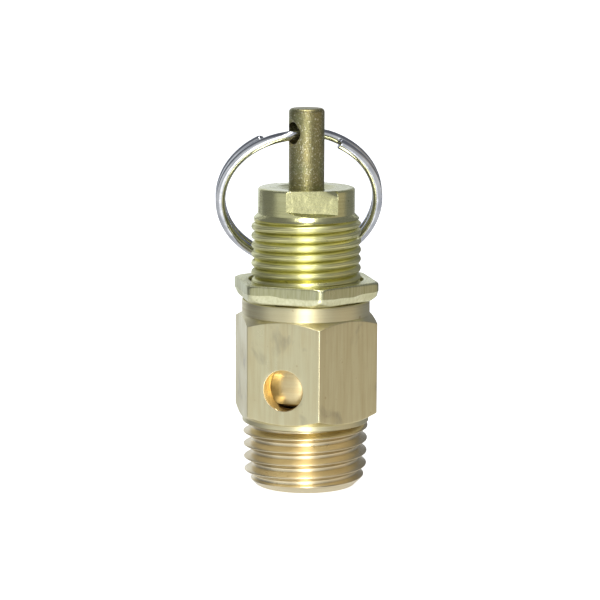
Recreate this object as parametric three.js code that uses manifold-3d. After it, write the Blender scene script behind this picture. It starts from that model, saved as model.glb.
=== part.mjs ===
// Ring-pull pressure relief valve for a 1/4-18 tapered pipe port.
// Millimetres, +Z up along the valve's axis. The origin is on the axis, in the plane of the inlet's end
// face. The vent hole opens towards -Y. Angles named *Turn are measured about +Z from -Y towards +X.
import * as THREE from 'three';
import { mergeVertices } from 'three/addons/utils/BufferGeometryUtils.js';
import Module from 'manifold-3d';

const wasm = await Module();
wasm.setup();

// ---------- driving dimensions ----------
const rad = Math.PI / 180;
const roundSteps = 36;          // facets round a turned surface
const fineThreadSteps = 24;     // facets in a turn of the adjusting thread
const pipeThreadSteps = 26;

// body: hexagon bar, 9/16 in across flats
const bodyFlats = 14.29;
const inletChamferRadius = 5.45;
const inletChamferHeight = 0.95;
const grooveBottom = 6.6;       // thread runout groove under the hexagon
const grooveTop = 6.92;
const grooveRadius = 6.15;
const landRadius = 6.93;        // round shoulder under the hexagon
const landBottom = 7.12;
const hexBottom = 7.6;
const hexTop = 18.92;
const chamferSlope = Math.tan(30 * rad);
const collarRadius = 6.97;
const collarTop = 20.52;

// 1/4-18 tapered pipe thread
const pipePitch = 25.4 / 18;
const pipeCrestRadius = 6.63;   // at the end face
const pipeRootRadius = 5.8;     // at the end face
const pipeTaper = 1 / 32;       // radius gained per mm
const pipePhase = 0.56;

// inside the body
const inletRadius = 3.0;
const nozzleLipTop = 9.9;
const nozzleLipRadius = 3.7;
const nozzleRootRadius = 4.0;
const chamberFloor = 9.1;
const chamberRadius = 5.5;
const ventRadius = 2.2;
const ventHeight = 11.5;

// M12 x 1 adjusting thread
const finePitch = 1.0;
const fineCrestRadius = 5.97;
const fineRootRadius = 5.39;
const finePhase = 0.86;
const threadClearance = 0.13;
const femaleThreadBottom = 15.4;

// adjusting screw
const screwBottom = 17.0;
const screwThreadTop = 29.25;
const headRadius = 5.26;
const headBottom = 29.9;
const headTop = 32.7;
const headEdge = 0.25;
const headFlatDistance = 4.45;  // from the axis to each wrench flat
const headTurn = 27.6 * rad;    // where the first wrench flat faces
const springBoreRadius = 4.0;
const springBoreTop = 29.2;
const stemClearRadius = 2.1;
const dishRadius = 3.3;
const dishDepth = 0.35;

// lock nut
const nutFlats = 14.45;
const nutLowerFlats = 13.85;
const nutBottom = 20.64;
const nutShearTop = 21.15;      // height where the sheared lower band meets the full hexagon
const nutTop = 22.68;
const nutEdge = 0.42;
const nutTurn = 31.5 * rad;     // where one corner points
const nutBoreRadius = fineCrestRadius + threadClearance;

// lift stem
const stemRadius = 1.93;
const stemTop = 41.25;
const stemEdge = 0.3;
const stemHoleHeight = 38.6;
const stemHoleRadius = 1.2;
const stemHoleMouthRadius = 1.55;
const stemHoleMouthDepth = 0.22;
const stemHoleTurn = 50.8 * rad; // the hole's axis, about +Z from +X
const stemTailRadius = 1.5;
const stemShoulder = 15.4;
const stemBottom = 12.7;

// split ring
const ringTurn = 22.3 * rad;    // the direction across the ring at the stem, about +Z from +X
const ringHeight = 38.5;
const ringRadius = 8.63;        // to the middle of the wire
const ringWireWidth = 1.1;      // radial
const ringWireThickness = 0.74;
const ringLayerStep = 0.82;     // between the middles of the two layers
const ringLean = 29.5 * rad;
const ringShift = 4.2 * rad;    // how far from its top the stem holds the ring
const ringStartAngle = -32 * rad;
const ringSweep = -662.7 * rad;
const ringCrossHalf = 18 * rad; // half of the arc in which the wire crosses between its layers

// piston, seal and spring
const pistonRadius = 5.3;
const pistonBottom = 9.4;
const pistonTop = 14.2;
const pistonChamfer = 0.3;
const pistonBossRadius = 2.5;
const pistonBossTop = 15.25;
const sealRadius = 4.3;
const sealBottom = 9.95;
const sealTop = 11.1;
const sealRecessTop = 11.2;
const skirtRadius = 4.5;
const retainerRadius = 2.3;
const retainerBottom = 9.35;
const retainerTop = 9.85;
const sealScrewHeadRadius = 1.7;
const sealScrewHeadBottom = 8.3;
const sealScrewHeadTop = 9.3;
const sealScrewRadius = 1.0;
const sealScrewTop = 12.0;
const sealScrewHoleRadius = 1.15;
const springRadius = 3.2;
const springWire = 1.0;
const springBottom = 14.3;
const springTopFace = 28.3;
const springTurns = 9.5;
const washerRadius = 3.8;
const washerBottom = 28.35;
const washerTop = 29.15;

// ---------- solids from three.js geometry ----------

// a closed geometry as a manifold solid
function solid(geometry) {
  const bare = geometry.index ? geometry.toNonIndexed() : geometry.clone();
  bare.deleteAttribute('normal');
  bare.deleteAttribute('uv');
  const merged = mergeVertices(bare, 1e-4);
  const vertProperties = new Float32Array(merged.attributes.position.array);
  const triVerts = new Uint32Array(merged.index.array);
  return new wasm.Manifold(new wasm.Mesh({ numProp: 3, vertProperties, triVerts }));
}

// a manifold solid as a geometry
function geometryOf(manifold) {
  const mesh = manifold.getMesh();
  const geometry = new THREE.BufferGeometry();
  geometry.setAttribute('position', new THREE.BufferAttribute(mesh.vertProperties, 3));
  geometry.setIndex(new THREE.BufferAttribute(mesh.triVerts, 1));
  geometry.computeVertexNormals();
  return geometry;
}

// an outline of [radius, height] pairs turned about +Z; it starts and ends on the axis or closes on itself
function turned(outline, steps = roundSteps) {
  const points = outline.map(([radius, height]) => new THREE.Vector2(radius, height));
  if (THREE.ShapeUtils.isClockWise(points)) {
    points.reverse();
  }
  return new THREE.LatheGeometry(points, steps).rotateX(Math.PI / 2);
}

// points of a quarter round, from [radius, top - edge] up and in to [radius - edge, top]
function roundedEdge(radius, top, edge, steps = 3) {
  const points = [];
  for (let i = 0; i <= steps; i += 1) {
    const angle = (Math.PI / 2) * (i / steps);
    points.push([radius - edge + edge * Math.cos(angle), top - edge + edge * Math.sin(angle)]);
  }
  return points;
}

// a hexagonal prism with a corner at the given turn; its lower end can have smaller flats
function hexPrism(topFlats, bottomFlats, bottom, top, cornerTurn) {
  const cornerRadius = (flats) => flats / Math.sqrt(3);
  const prism = new THREE.CylinderGeometry(cornerRadius(topFlats), cornerRadius(bottomFlats), top - bottom, 6);
  prism.rotateX(Math.PI / 2);
  prism.rotateZ(cornerTurn);
  return prism.translate(0, 0, (top + bottom) / 2);
}

// a rod along +Z with a right-hand thread. Each pitch has a crest flat, two flanks and a sharp or flat root;
// the rows of vertices follow the helix, and a fan closes each end. The radii grow by taper per mm of height.
function threadRod({ crest, root, pitch, rootHalf = 0, taper = 0, phase, bottom, top, grow = 0, steps }) {
  const crestHalf = pitch * 0.07 + grow;
  const rows = [[-crestHalf, crest + grow], [crestHalf, crest + grow]];
  const rootOffsets = rootHalf > 0 ? [pitch / 2 - rootHalf, pitch / 2 + rootHalf] : [pitch / 2];
  rows.push(...rootOffsets.map((offset) => [offset, root + grow]));
  const firstTurn = Math.floor(bottom / pitch) - 2;
  const lastTurn = Math.ceil(top / pitch) + 1;
  const positions = [];
  for (let turn = firstTurn; turn < lastTurn; turn += 1) {
    for (const [offset, radius] of rows) {
      for (let i = 0; i < steps; i += 1) {
        const angle = (i / steps) * 2 * Math.PI;
        const height = (turn + phase + i / steps) * pitch + offset;
        const tapered = radius + taper * height;
        positions.push(tapered * Math.cos(angle), tapered * Math.sin(angle), height);
      }
    }
  }
  const rowCount = (lastTurn - firstTurn) * rows.length;
  // after a whole turn a row meets the row one pitch above it
  const at = (row, i) => (i < steps ? row * steps + i : (row + rows.length) * steps);
  const faces = [];
  for (let row = 0; row + 1 + rows.length < rowCount; row += 1) {
    for (let i = 0; i < steps; i += 1) {
      faces.push(at(row, i), at(row, i + 1), at(row + 1, i + 1));
      faces.push(at(row, i), at(row + 1, i + 1), at(row + 1, i));
    }
  }
  closeThreadEnd(positions, faces, at, 0, steps, rows.length, false);
  closeThreadEnd(positions, faces, at, rowCount - 1 - rows.length, steps, rows.length, true);
  const geometry = new THREE.BufferGeometry();
  geometry.setAttribute('position', new THREE.Float32BufferAttribute(positions, 3));
  geometry.setIndex(faces);
  return geometry;
}

// fan one end of a thread rod: the loop is one row round, then down the step back to where it started
function closeThreadEnd(positions, faces, at, row, steps, rowsPerTurn, isTop) {
  const loop = [];
  for (let i = 0; i <= steps; i += 1) {
    loop.push(at(row, i));
  }
  for (let step = rowsPerTurn - 1; step > 0; step -= 1) {
    loop.push(at(row + step, 0));
  }
  const centre = positions.length / 3;
  const heights = loop.map((index) => positions[index * 3 + 2]);
  positions.push(0, 0, isTop ? Math.max(...heights) : Math.min(...heights));
  loop.forEach((index, i) => {
    const next = loop[(i + 1) % loop.length];
    faces.push(...(isTop ? [centre, index, next] : [centre, next, index]));
  });
}

// the adjusting thread, as the screw has it, or grown by a clearance for the hole that takes it
function fineThread(bottom, top, grow) {
  return threadRod({
    crest: fineCrestRadius,
    root: fineRootRadius,
    pitch: finePitch,
    phase: finePhase,
    bottom,
    top,
    grow,
    steps: fineThreadSteps,
  });
}

// a box that reaches from a plane at the given distance along a turned direction
function flatCutter(distance, turn, bottom, top) {
  const size = 12;
  const box = new THREE.BoxGeometry(size, size, top - bottom);
  box.translate(0, -distance - size / 2, (bottom + top) / 2);
  return solid(box.rotateZ(turn));
}

// ---------- the pieces ----------

function valveBody() {
  const cornerRadius = bodyFlats / Math.sqrt(3);
  const chamfer = (cornerRadius - collarRadius) * chamferSlope;
  const barrel = solid(turned([
    [0, hexBottom - 0.1],
    [landRadius, hexBottom - 0.1],
    [landRadius, hexBottom],
    [cornerRadius + 0.05, hexBottom + chamfer],
    [cornerRadius + 0.05, hexTop - chamfer],
    [collarRadius, hexTop],
    [0, hexTop],
  ]));
  const hexagon = solid(hexPrism(bodyFlats, bodyFlats, hexBottom - 0.05, hexTop, 30 * rad));
  const land = solid(turned([
    [0, grooveBottom - 0.5],
    [grooveRadius, grooveBottom - 0.5],
    [grooveRadius, grooveTop - 0.2],
    [landRadius - 0.3, grooveTop],
    [landRadius, landBottom],
    [landRadius, hexBottom],
    [0, hexBottom],
  ]));
  const collar = solid(turned([
    [0, hexTop - 1],
    [collarRadius, hexTop - 1],
    ...roundedEdge(collarRadius, collarTop, 0.15, 2),
    [0, collarTop],
  ]));
  const pipeThread = solid(threadRod({
    crest: pipeCrestRadius,
    root: pipeRootRadius,
    pitch: pipePitch,
    rootHalf: pipePitch * 0.12,
    taper: pipeTaper,
    phase: pipePhase,
    bottom: 0,
    top: grooveTop,
    steps: pipeThreadSteps,
  }));
  const threadLimit = solid(turned([
    [0, 0],
    [inletChamferRadius, 0],
    [inletChamferRadius + 0.95, inletChamferHeight],
    [7.6, inletChamferHeight + 1.2],
    [7.6, grooveBottom - 0.35],
    [grooveRadius - 0.1, grooveBottom + 0.1],
    [0, grooveBottom + 0.1],
  ]));
  const outside = barrel.intersect(hexagon).add(land).add(collar).add(pipeThread.intersect(threadLimit));
  return outside.subtract(bodyHollow()).subtract(ventHole()).subtract(femaleThread());
}

// the inlet, the raised nozzle lip and the chamber above it, as one turned solid to take away
function bodyHollow() {
  return solid(turned([
    [0, -1],
    [inletRadius + 1.4, -1],
    [inletRadius, 0.4],
    [inletRadius, nozzleLipTop - 0.15],
    [inletRadius + 0.15, nozzleLipTop],
    [nozzleLipRadius - 0.1, nozzleLipTop],
    [nozzleLipRadius, nozzleLipTop - 0.1],
    [nozzleRootRadius, chamberFloor],
    [chamberRadius, chamberFloor],
    [chamberRadius, collarTop - 0.6],
    [chamberRadius + 0.9, collarTop + 0.3],
    [0, collarTop + 0.3],
  ]));
}

// one drill passes through both sides of the body
function ventHole() {
  const drill = new THREE.CylinderGeometry(ventRadius, ventRadius, bodyFlats + 4, 32);
  return solid(drill.translate(0, 0, ventHeight));
}

function femaleThread() {
  const limit = solid(turned([
    [0, femaleThreadBottom],
    [chamberRadius - 0.05, femaleThreadBottom],
    [7.2, femaleThreadBottom + 1.0],
    [7.2, collarTop + 0.5],
    [0, collarTop + 0.5],
  ]));
  return solid(fineThread(femaleThreadBottom, collarTop + 1, threadClearance)).intersect(limit);
}

function adjustingScrew() {
  const runout = headRadius + 0.5;
  const thread = solid(fineThread(screwBottom, screwThreadTop, 0)).intersect(solid(turned([
    [0, screwBottom],
    [fineRootRadius - 0.1, screwBottom],
    [fineCrestRadius + 0.1, screwBottom + 0.7],
    [fineCrestRadius + 0.1, screwThreadTop - 0.6],
    [fineRootRadius + 0.1, screwThreadTop],
    [0, screwThreadTop],
  ])));
  const cone = [
    [runout, screwThreadTop],
    [runout, screwThreadTop + 0.15],
    [headRadius, headBottom],
  ];
  const head = solid(turned([
    [0, screwThreadTop - 0.6],
    [fineRootRadius + 0.05, screwThreadTop - 0.6],
    ...cone,
    ...roundedEdge(headRadius, headTop, headEdge),
    [dishRadius, headTop],
    [stemClearRadius, headTop - dishDepth],
    [0, headTop - dishDepth],
  ]));
  const spared = solid(turned([
    [0, screwThreadTop - 1],
    [7.5, screwThreadTop - 1],
    ...cone,
    [headFlatDistance - 0.5, headBottom + headRadius - headFlatDistance + 0.5],
    [0, headBottom + headRadius - headFlatDistance + 0.5],
  ]));
  const hollow = solid(turned([
    [0, screwBottom - 1],
    [springBoreRadius + 0.4, screwBottom - 1],
    [springBoreRadius + 0.4, screwBottom],
    [springBoreRadius, screwBottom + 0.4],
    [springBoreRadius, springBoreTop],
    [stemClearRadius, springBoreTop],
    [stemClearRadius, headTop + 1],
    [0, headTop + 1],
  ]));
  let screw = thread.add(head);
  for (const side of [0, Math.PI]) {
    const flat = flatCutter(headFlatDistance, headTurn + side, screwThreadTop, headTop + 1);
    screw = screw.subtract(flat.subtract(spared));
  }
  return screw.subtract(hollow);
}

function lockNut() {
  const cornerRadius = nutFlats / Math.sqrt(3);
  const upper = solid(hexPrism(nutFlats, nutFlats, nutShearTop, nutTop, nutTurn));
  const lower = solid(hexPrism(nutFlats, nutLowerFlats, nutBottom, nutShearTop, nutTurn));
  const rolled = solid(turned([
    [0, nutBottom],
    [cornerRadius + 0.1, nutBottom],
    ...roundedEdge(cornerRadius + 0.05, nutTop, nutEdge + 0.15, 4),
    [0, nutTop],
  ]));
  const bore = solid(turned([
    [0, nutBottom - 1],
    [nutBoreRadius + 1.2, nutBottom - 1],
    [nutBoreRadius, nutBottom + 0.2],
    [nutBoreRadius, nutTop - 0.2],
    [nutBoreRadius + 1.2, nutTop + 1],
    [0, nutTop + 1],
  ]));
  return upper.add(lower).intersect(rolled).subtract(bore);
}

function liftStem() {
  const pin = solid(turned([
    [0, stemBottom],
    [stemTailRadius - 0.3, stemBottom],
    [stemTailRadius, stemBottom + 0.3],
    [stemTailRadius, stemShoulder],
    [stemRadius, stemShoulder],
    ...roundedEdge(stemRadius, stemTop, stemEdge),
    [0, stemTop],
  ], 36));
  const mouthHeight = stemRadius - stemHoleMouthDepth;
  const flare = 1.0;
  const mouthSlope = (stemHoleMouthRadius - stemHoleRadius) / stemHoleMouthDepth;
  const cutter = turned([
    [0, -stemRadius - flare],
    [stemHoleMouthRadius + mouthSlope * flare, -stemRadius - flare],
    [stemHoleRadius, -mouthHeight],
    [stemHoleRadius, mouthHeight],
    [stemHoleMouthRadius + mouthSlope * flare, stemRadius + flare],
    [0, stemRadius + flare],
  ], 24);
  cutter.rotateY(Math.PI / 2).rotateZ(stemHoleTurn).translate(0, 0, stemHoleHeight);
  return pin.subtract(solid(cutter));
}

// The middle of the ring's wire, with the ring flat: angle 0 is at the top, +X is its right, and +Z is its
// front. The wire lies in the back layer, crosses to the front layer at the top, and goes round again.
class RingPath extends THREE.Curve {
  getPoint(t, target = new THREE.Vector3()) {
    const angle = ringStartAngle + ringSweep * t;
    const past = THREE.MathUtils.clamp((-2 * Math.PI - angle) / ringCrossHalf, -1, 1);
    const height = (ringLayerStep / 2) * Math.sin((past * Math.PI) / 2);
    return target.set(ringRadius * Math.sin(angle), ringRadius * Math.cos(angle), height);
  }
}

function splitRing() {
  const halfThickness = ringWireThickness / 2;
  const halfWidth = ringWireWidth / 2;
  const corner = 0.2;
  const section = new THREE.Shape();
  section.moveTo(-halfThickness, -halfWidth + corner);
  section.lineTo(-halfThickness + corner, -halfWidth);
  section.lineTo(halfThickness - corner, -halfWidth);
  section.lineTo(halfThickness, -halfWidth + corner);
  section.lineTo(halfThickness, halfWidth - corner);
  section.lineTo(halfThickness - corner, halfWidth);
  section.lineTo(-halfThickness + corner, halfWidth);
  section.lineTo(-halfThickness, halfWidth - corner);
  section.closePath();
  const wire = new THREE.ExtrudeGeometry(section, { steps: 66, extrudePath: new RingPath() });
  // the crossing goes to the hole, the ring stands up and leans back, and its axis turns with the hole
  wire.rotateZ(-ringShift);
  wire.translate(-ringRadius * Math.sin(ringShift), -ringRadius * Math.cos(ringShift), 0);
  wire.rotateX(Math.PI / 2 + ringLean).rotateZ(ringTurn);
  return wire.translate(0, 0, ringHeight);
}

// the spring's middle line; its first and last turns lie flat against their seats
class SpringPath extends THREE.Curve {
  getPoint(t, target = new THREE.Vector3()) {
    const turns = springTurns * t;
    const flatTurns = 0.9;
    const active = springTurns - 2 * flatTurns;
    const rise = springTopFace - springBottom - 3 * springWire - 0.2;
    const eased = THREE.MathUtils.clamp((turns - flatTurns) / active, 0, 1);
    const low = Math.min(turns, flatTurns) / flatTurns;
    const high = Math.max(turns - flatTurns - active, 0) / flatTurns;
    const height = springBottom + springWire / 2 + (springWire + 0.1) * (low + high) + rise * eased;
    const angle = turns * 2 * Math.PI;
    return target.set(springRadius * Math.cos(angle), springRadius * Math.sin(angle), height);
  }
}

function valveSpring() {
  const section = new THREE.Shape();
  section.absarc(0, 0, springWire / 2, 0, 2 * Math.PI);
  return new THREE.ExtrudeGeometry(section, { steps: 114, curveSegments: 3, extrudePath: new SpringPath() });
}

function piston() {
  return solid(turned([
    [sealScrewHoleRadius, sealRecessTop],
    [sealRadius + 0.1, sealRecessTop],
    [sealRadius + 0.1, sealBottom + 0.1],
    [skirtRadius, sealBottom - 0.05],
    [skirtRadius, pistonBottom],
    [pistonRadius - pistonChamfer, pistonBottom],
    [pistonRadius, pistonBottom + pistonChamfer],
    [pistonRadius, pistonTop - 0.2],
    [pistonRadius - 0.2, pistonTop],
    [pistonBossRadius, pistonTop],
    [pistonBossRadius, pistonBossTop],
    [stemTailRadius + 0.05, pistonBossTop],
    [stemTailRadius + 0.05, stemBottom - 0.1],
    [sealScrewHoleRadius, stemBottom - 0.3],
    [sealScrewHoleRadius, sealRecessTop],
  ]));
}

function sealDisc() {
  return turned([
    [sealScrewHoleRadius, sealBottom],
    [sealRadius, sealBottom],
    [sealRadius, sealTop],
    [sealScrewHoleRadius, sealTop],
    [sealScrewHoleRadius, sealBottom],
  ]);
}

function sealRetainer() {
  return turned([
    [sealScrewHoleRadius, retainerBottom],
    [retainerRadius - 0.1, retainerBottom],
    [retainerRadius, retainerBottom + 0.1],
    [retainerRadius, retainerTop],
    [sealScrewHoleRadius, retainerTop],
    [sealScrewHoleRadius, retainerBottom],
  ], 32);
}

function sealScrew() {
  const shank = solid(turned([
    [0, sealScrewHeadBottom],
    [sealScrewHeadRadius - 0.4, sealScrewHeadBottom],
    [sealScrewHeadRadius, sealScrewHeadBottom + 0.35],
    [sealScrewHeadRadius, sealScrewHeadTop],
    [sealScrewRadius, sealScrewHeadTop],
    [sealScrewRadius, sealScrewTop - 0.2],
    [sealScrewRadius - 0.2, sealScrewTop],
    [0, sealScrewTop],
  ], 24));
  const slot = new THREE.BoxGeometry(4, 0.45, 1).translate(0, 0, sealScrewHeadBottom);
  return shank.subtract(solid(slot));
}

function upperSpringWasher() {
  return turned([
    [stemClearRadius, washerBottom],
    [washerRadius, washerBottom],
    [washerRadius, washerTop],
    [stemClearRadius, washerTop],
    [stemClearRadius, washerBottom],
  ], 36);
}

// ---------- the assembly ----------

const valve = new THREE.Group();

function addPiece(name, shape, color, roughness, metalness = 1) {
  const geometry = shape.isBufferGeometry ? shape : geometryOf(shape);
  const mesh = new THREE.Mesh(geometry, new THREE.MeshStandardMaterial({ color, roughness, metalness }));
  mesh.name = name;
  valve.add(mesh);
  return mesh;
}

const brass = 0xc4b489;
const yellowZinc = 0xb9b56a;
const springSteel = 0xb4b8bc;

addPiece('valve_body', valveBody(), brass, 0.4);
addPiece('lock_nut', lockNut(), yellowZinc, 0.35);
addPiece('adjusting_screw', adjustingScrew(), yellowZinc, 0.3);
addPiece('lift_stem', liftStem(), 0x8f8748, 0.45);
addPiece('piston', piston(), 0xcfae6a, 0.3);
addPiece('seal_disc', sealDisc(), 0x1e1e1e, 0.8, 0);
addPiece('seal_retainer', sealRetainer(), brass, 0.4);
addPiece('seal_screw', sealScrew(), springSteel, 0.35);
addPiece('valve_spring', valveSpring(), springSteel, 0.35);
addPiece('upper_spring_washer', upperSpringWasher(), springSteel, 0.4);
addPiece('split_ring', splitRing(), 0xd6d9dc, 0.15);

export default valve;
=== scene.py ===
"""Looks of a ring-pull pressure relief valve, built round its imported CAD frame.

Lengths are millimetres until Skin.build() turns them into metres. Angles are degrees about +Z from +X, and a
surface round the axis is kept as rows (along its outline) by columns (one for each angle).
"""

import math

import bmesh
import bpy
import numpy as np
from mathutils import Euler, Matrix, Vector

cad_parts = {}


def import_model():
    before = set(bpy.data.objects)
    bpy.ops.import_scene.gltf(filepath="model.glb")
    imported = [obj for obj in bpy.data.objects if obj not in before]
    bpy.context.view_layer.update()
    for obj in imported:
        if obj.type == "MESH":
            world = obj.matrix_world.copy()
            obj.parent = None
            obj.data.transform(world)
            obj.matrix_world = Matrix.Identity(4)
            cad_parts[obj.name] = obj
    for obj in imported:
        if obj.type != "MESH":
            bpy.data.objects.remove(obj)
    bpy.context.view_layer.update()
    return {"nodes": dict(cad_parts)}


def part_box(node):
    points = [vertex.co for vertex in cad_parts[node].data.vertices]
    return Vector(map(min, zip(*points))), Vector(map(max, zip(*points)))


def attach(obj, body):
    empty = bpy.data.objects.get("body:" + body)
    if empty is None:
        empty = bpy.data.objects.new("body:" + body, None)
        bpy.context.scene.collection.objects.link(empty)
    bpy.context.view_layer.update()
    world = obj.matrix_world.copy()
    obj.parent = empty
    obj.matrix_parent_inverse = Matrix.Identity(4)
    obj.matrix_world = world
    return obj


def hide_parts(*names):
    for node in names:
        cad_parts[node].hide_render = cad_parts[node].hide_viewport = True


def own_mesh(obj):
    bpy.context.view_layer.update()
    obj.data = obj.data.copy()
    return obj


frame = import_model()

MM = 0.001
WELD = 2.0e-6  # metres


def box_mm(node):
    low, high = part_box(node)
    return np.array(low) / MM, np.array(high) / MM


BODY_HIGH = box_mm("valve_body")[1]
NUT_LOW, NUT_HIGH = box_mm("lock_nut")
SCREW_LOW, SCREW_HIGH = box_mm("adjusting_screw")
STEM_LOW, STEM_HIGH = box_mm("lift_stem")

SEAM = -210.0  # where the columns start: the middle of a flat, clear of the vents
FLAT = BODY_HIGH[1]  # from the axis to a flat of the body
COLLAR_TOP = BODY_HIGH[2]
HEX_CORNERS = (-180.0, -120.0, -60.0, 0.0, 60.0, 120.0)
CHAMFER_RISE = math.tan(math.radians(30))
LAND_RADIUS = 6.93
HEX_BOTTOM = 7.6
COLLAR_RADIUS = 6.97
HEX_TOP = 18.92
VENT_RADIUS = 2.2
VENT_HEIGHT = 11.5
VENT_SPAN = 27.0  # half of the angle that a vent's patch covers
VENT_EDGE = 0.07
GAP_LOW = 8.9  # heights of the flat rows between which the vents' gaps lie
GAP_HIGH = 14.2
CHAMBER_RADIUS = 5.5
CHAMBER_LOW = 9.16
CHAMBER_HIGH = 14.2
INNER_THREAD_LOW = 15.4
PIPE_PITCH = 25.4 / 18
PIPE_PHASE = 0.56
PIPE_ROOT = 5.8
PIPE_DEPTH = 0.85
PIPE_TAPER = 32  # height over which the radius grows by one
PIPE_TOP = 6.82
PIPE_START = 5.45  # radius of the lower cone at the inlet's end
FINE_PITCH = 1.0
FINE_PHASE = 0.86
THREAD_ROOT = 5.39
THREAD_DEPTH = 0.58
ROLLED_ROOT = 5.48
ROLLED_DEPTH = 0.49
THREAD_CLEARANCE = 0.13
SCREW_THREAD_TOP = 29.25
HIDDEN_THREAD_TOP = 22.0  # the screw's thread has fewer rows below this, inside the nut and body
SEAM_DEPTH = 0.05
HEAD_RADIUS = 5.26
HEAD_BOTTOM = 29.9
HEAD_FLAT = 4.45
HEAD_EDGE = 0.25
HEAD_FLATS_AT = (-62.4, 117.6)
LEDGE_SLOPE = 2.4
NUT_CORNER = -58.5
NUT_FLAT = 7.225
NUT_RADIUS = 8.37
NUT_BAND = 21.55  # height where the broken band below meets the sheared band above
NUT_ROLL = 0.6  # height over which the corners roll in at the top
NUT_CORNER_HEIGHTS = (0, 0.34, 0.56, 0.9)  # above the nut's lower face
NUT_CORNER_RADII = (7.4, 7.86, 8.12, NUT_RADIUS)
RING_RADIUS = 8.63
WIRE_WIDTH = 1.1
WIRE_THICKNESS = 0.74
RING_START = -32.0
RING_SWEEP = -662.7
RING_CROSSING = 18  # half of the angle over which the wire goes from one layer to the other
RING_LAYER = 0.41  # from the ring's middle plane to each layer
RING_SHIFT = 4.2
RING_LEAN = 29.5
RING_TURN = 22.3
RING_HEIGHT = 38.5
STEM_RADIUS = STEM_HIGH[0]
STEM_SHOULDER = 15.4
STEM_EDGE = 0.42
STEM_GAP_LOW = 36.7  # heights of the rows between which the cross hole's gaps lie
STEM_GAP_HIGH = 40.5
STEM_GAP_SPAN = (48.1, 47.9)  # angle on either side of the gap's middle
HOLE_TURN = 50.8
HOLE_HEIGHT = 38.6
HOLE_RADIUS = 1.2
MOUTH_RADIUS = 1.55
MOUTH_DEPTH = 0.22
SPRING_RADIUS = 3.2
SPRING_WIRE = 0.5
SPRING_TURNS = 9.5
SPRING_END = 0.9  # turns at each end that hardly rise


# ---------- rows and columns ----------


def columns(step, places=(), offsets=(0.0,)):
    """Angles round the axis at an even step, with more of them beside the given places."""
    even = SEAM + np.arange(0, 360 + step / 2, step)
    extra = np.add.outer(np.asarray(places, float), np.asarray(offsets, float)).ravel()
    extra = SEAM + (extra - SEAM) % 360
    return np.unique(np.round(np.concatenate([even, extra]), 4))


def smooth_min(a, b, width):
    """The smaller of two values, with the corner between them rounded over about that width."""
    return 0.5 * (a + b - np.sqrt((a - b) ** 2 + width**2))


def ramp(x, width):
    """0 below 0, 1 above 1 and a straight rise between, with both bends rounded."""
    return 0.5 * (1 + np.sqrt(x * x + width**2) - np.sqrt((x - 1) ** 2 + width**2))


def span(start, end, count):
    """Even rows from after start to end, each of which is a number or one value for each column."""
    share = np.linspace(0, 1, count + 1)[1:, None]
    return start + (end - start) * share


def around(radius, height, theta):
    """Points at each radius and height: (radius cos angle, radius sin angle, height)."""
    turn = np.radians(theta)
    return np.stack([radius * np.cos(turn), radius * np.sin(turn), height], -1)


def hexagon_radius(theta, flat, corner, fillet):
    """Radius of a hexagon whose corners are rounded: flat / cos(angle from the flat's middle), or the
    fillet's circle where the ray is nearer to a corner than the fillet's ends."""
    from_corner = (theta - corner + 30) % 60 - 30
    straight = flat / np.cos(np.radians(30 - np.abs(from_corner)))
    centre = flat / math.cos(math.radians(30)) - fillet / math.sin(math.radians(60))
    end_across = fillet * math.sin(math.radians(30))
    end_along = centre + fillet * math.cos(math.radians(30))
    reach = math.degrees(math.atan2(end_across, end_along))
    turn = np.radians(np.clip(np.abs(from_corner), 0, reach))
    rounded = centre * np.cos(turn) + np.sqrt(np.maximum(fillet**2 - (centre * np.sin(turn)) ** 2, 0))
    return np.where(np.abs(from_corner) < reach, rounded, straight)


def thread_rows(pitch, phase, marks, low, high, theta):
    """Heights of rows that follow a right-hand helix and stop at two heights. marks are places in a pitch."""
    turns = np.arange(math.floor(low / pitch) - 2, math.ceil(high / pitch) + 2)
    rows = (turns[:, None] + np.asarray(marks)[None, :]).ravel()
    heights = pitch * (rows[:, None] + phase + theta[None, :] / 360)
    free = (heights.max(1) > low) & (heights.min(1) < high)
    flat = np.ones((1, len(theta)))
    return np.concatenate([low * flat, np.clip(heights[free], low, high), high * flat])


def in_pitch(height, pitch, phase, theta):
    """Where a point is in its pitch, from -0.5 to 0.5, with 0 on the crest."""
    return (height / pitch - theta / 360 - phase + 0.5) % 1.0 - 0.5


def mirrored(*marks):
    """Places in a pitch, on both sides of the crest."""
    return sorted({-m for m in marks} | {m for m in marks if m < 0.5})


class Rows:
    """The outline of a surface round the axis, gathered row by row."""

    def __init__(self, theta):
        self.theta = theta
        self.radius = []
        self.height = []
        self.slots = []

    def add(self, radius, height, slot=0):
        """Adds rows. Either argument may be a number, one value for each row, or rows by columns."""
        radius = np.asarray(radius, float)
        height = np.asarray(height, float)
        radius = radius[:, None] if radius.ndim == 1 else radius
        height = height[:, None] if height.ndim == 1 else height
        rows = max(radius.shape[0] if radius.ndim else 1, height.shape[0] if height.ndim else 1)
        shape = (rows, len(self.theta))
        self.radius.append(np.broadcast_to(radius, shape))
        self.height.append(np.broadcast_to(height, shape))
        self.slots += [slot] * rows

    def line(self, *pairs, slot=0):
        """Adds one round row for each (radius, height)."""
        self.add([p[0] for p in pairs], [p[1] for p in pairs], slot)

    def round_over(self, radius, top, edge, steps=4):
        """A quarter round from the side, at (radius, top - edge), to the top, at (radius - edge, top)."""
        turn = np.linspace(0, math.pi / 2, steps + 1)
        self.add(radius - edge + edge * np.cos(turn), top - edge + edge * np.sin(turn))

    def count(self):
        return len(self.slots)

    def points(self):
        return around(np.concatenate(self.radius), np.concatenate(self.height), self.theta)


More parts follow.
